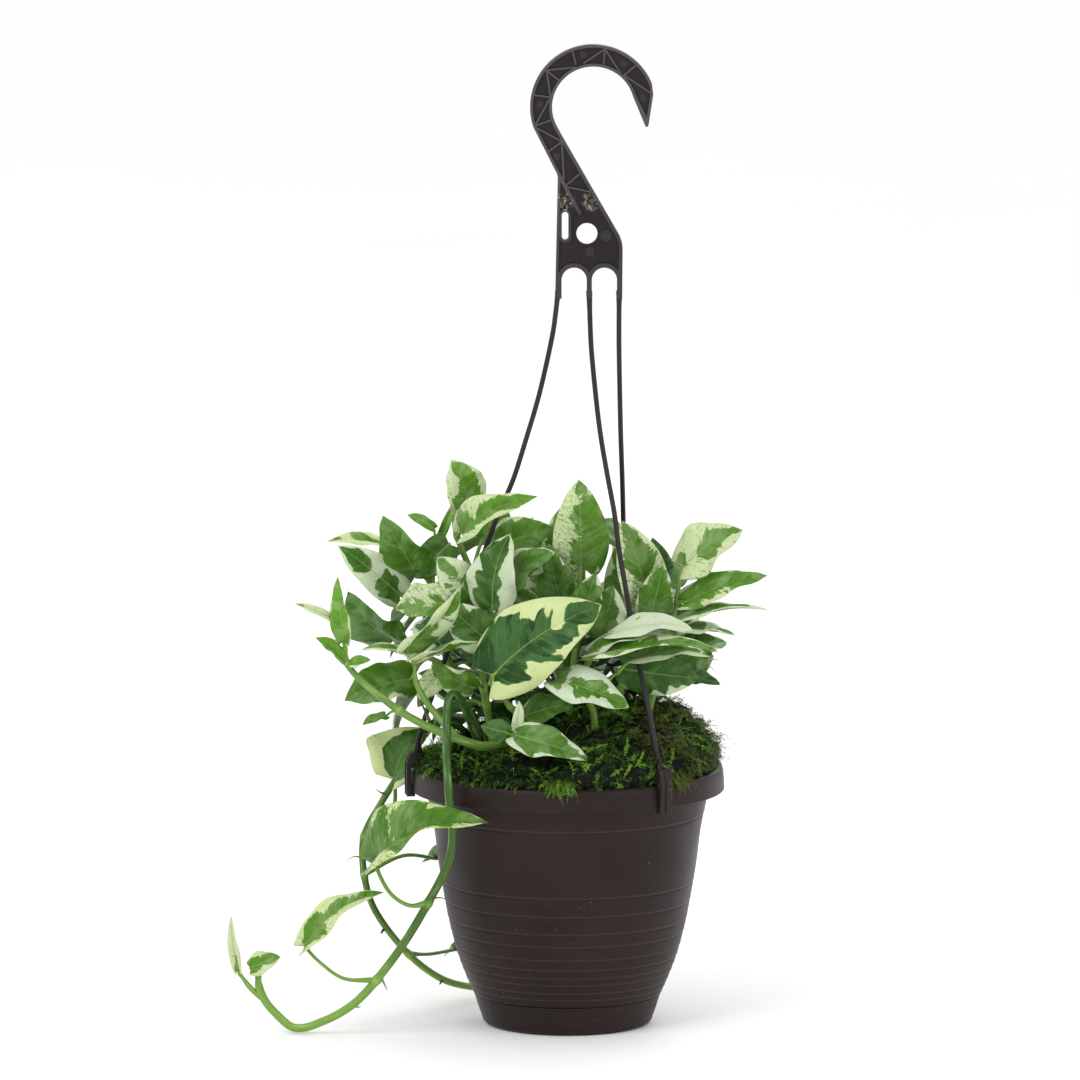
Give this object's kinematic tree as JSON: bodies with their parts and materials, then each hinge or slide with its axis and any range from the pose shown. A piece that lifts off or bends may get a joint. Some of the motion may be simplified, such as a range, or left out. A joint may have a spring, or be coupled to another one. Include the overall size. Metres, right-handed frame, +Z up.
{
  "type": "potted variegated pothos",
  "caption": "Trailing white and green variegated house plant in a dark plastic hanging-basket pot with a push-on saucer, moss topping and a one-piece hook hanger.",
  "frame": {"origin": "centre of the saucer's underside, where the pot stands", "axes": "+Z up through the pot, the front with the trailing stems on the left towards -Y, the flat hook lying in the XZ plane"},
  "size_m": [0.2831, 0.2211, 0.5177],
  "materials": {
    "pot_plastic": "dark brown, fine light specks, slight sheen on the rim",
    "hanger_plastic": "near black, satin",
    "potting_mix": "dark, crumbly, matt",
    "moss": "feathery, dark to bright green",
    "leaves": "waxy, dark green patches on white to cream, satin gloss"
  },
  "bodies": {
    "root": {"pot": "pot_plastic", "saucer": "pot_plastic", "hanger": "hanger_plastic", "soil": "potting_mix", "moss": "moss", "stem_shoot_left": "leaves", "stem_left_back": "leaves", "stem_top": "leaves", "stem_middle_left": "leaves", "stem_big_leaf": "leaves", "stem_low_front": "leaves", "stem_centre": "leaves", "stem_right_top": "leaves", "stem_right": "leaves", "stem_right_front": "leaves", "vine_front": "leaves", "vine_back": "leaves", "stem_back_1": "leaves", "stem_back_2": "leaves", "stem_back_3": "leaves", "stem_back_4": "leaves", "stem_middle_1": "leaves"}
  },
  "joints": []
}
